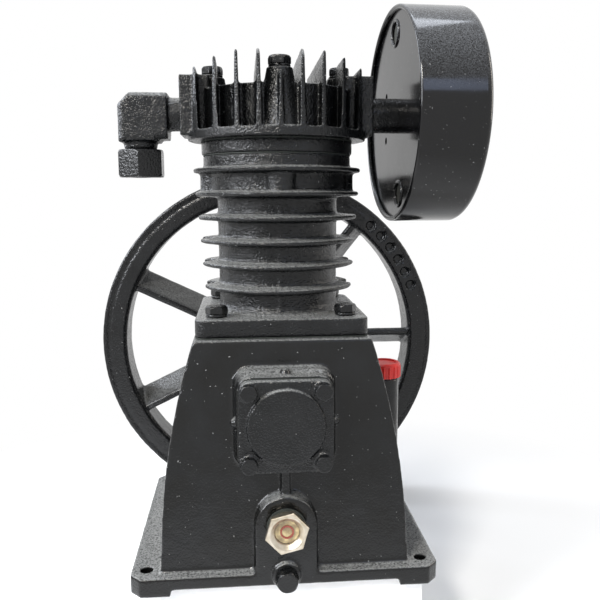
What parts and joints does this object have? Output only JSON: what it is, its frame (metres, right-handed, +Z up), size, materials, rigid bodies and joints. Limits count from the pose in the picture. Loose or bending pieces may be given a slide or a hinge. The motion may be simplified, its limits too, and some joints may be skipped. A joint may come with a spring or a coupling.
{
  "type": "air compressor pump head",
  "caption": "Belt-driven piston air compressor pump with finned cylinder and head, spoked fan flywheel, air filter, oil sight glass and discharge elbow.",
  "frame": {"origin": "centre of the four hold-down holes, on the underside of the feet", "axes": "+Z up along the cylinder, -Y towards the bearing cover and sight glass, +Y along the crankshaft towards the flywheel, +X towards the air filter"},
  "size_m": [0.3146, 0.296, 0.4221],
  "materials": {
    "cast_black": "gloss black enamel over rough sand-cast iron",
    "flywheel_black": "satin black enamel over sand-cast iron, turned rim",
    "bolt_black": "black steel",
    "gasket": "dark sheet gasket",
    "sheet_black": "smooth gloss black enamel on pressed sheet",
    "filter_felt": "grey filter felt",
    "plated": "bright plating",
    "lens": "clear lens with oil behind it",
    "red_mark": "red",
    "red_plastic": "moulded red plastic, semi-gloss",
    "seal_rubber": "black rubber",
    "copper": "copper",
    "brass": "machined brass",
    "iron": "machined iron",
    "bearing_steel": "ground steel",
    "alloy": "turned aluminium"
  },
  "bodies": {
    "pump": {"crankcase": "cast_black", "cover_gasket": "gasket", "front_cover": "cast_black", "cover_bolts": "bolt_black", "rear_gasket": "gasket", "rear_bearing_housing": "cast_black", "rear_housing_bolts": "bolt_black", "oil_seal": "seal_rubber", "front_bearing_outer": "bearing_steel", "rear_bearing_outer": "bearing_steel", "base_gasket": "gasket", "cylinder_block": "cast_black", "cylinder_washers": "bolt_black", "cylinder_bolts": "bolt_black", "plate_gasket": "gasket", "valve_plate": "cast_black", "suction_reed": "bearing_steel", "discharge_reed": "bearing_steel", "reed_screws": "bearing_steel", "head_gasket": "gasket", "cylinder_head": "cast_black", "head_washers": "bolt_black", "head_bolts": "bolt_black", "discharge_elbow": "cast_black", "tube_olive": "brass", "intake_stem": "bolt_black", "filter_plate": "sheet_black", "filter_can": "sheet_black", "filter_element": "filter_felt", "sight_washer": "gasket", "sight_body": "plated", "sight_lens": "lens", "sight_ring": "red_mark", "drain_washer": "copper", "drain_plug": "bolt_black"},
    "crank": {"crankshaft": "iron", "front_bearing_inner": "bearing_steel", "rear_bearing_inner": "bearing_steel", "front_balls": "bearing_steel", "rear_balls": "bearing_steel", "shaft_key": "iron", "flywheel": "flywheel_black", "flywheel_washer": "bolt_black", "flywheel_bolt": "bolt_black"},
    "piston_set": {"piston": "alloy", "compression_rings": "bearing_steel", "oil_ring": "bearing_steel", "wrist_pin": "bearing_steel", "pin_circlips": "bearing_steel"},
    "outlet_nut": {"union_nut": "bolt_black"},
    "cap": {"filler_cap": "red_plastic", "cap_seal": "seal_rubber"}
  },
  "joints": [
    {"name": "crank_spin", "type": "hinge", "parent": "pump", "child": "crank", "pos_m": [0, 0, 0.1115], "axis": [0, 1, 0], "continuous": true},
    {"name": "piston_slide", "type": "slide", "parent": "pump", "child": "piston_set", "axis": [0, 0, 1], "range_m": [-0.046, 0]},
    {"name": "nut_spin", "type": "hinge", "parent": "pump", "child": "outlet_nut", "pos_m": [-0.092, -0.005, 0.271], "axis": [0, 0, 1], "continuous": true},
    {"name": "cap_spin", "type": "hinge", "parent": "pump", "child": "cap", "pos_m": [0.086, 0.04, 0.112], "axis": [0, 0, 1], "continuous": true}
  ]
}
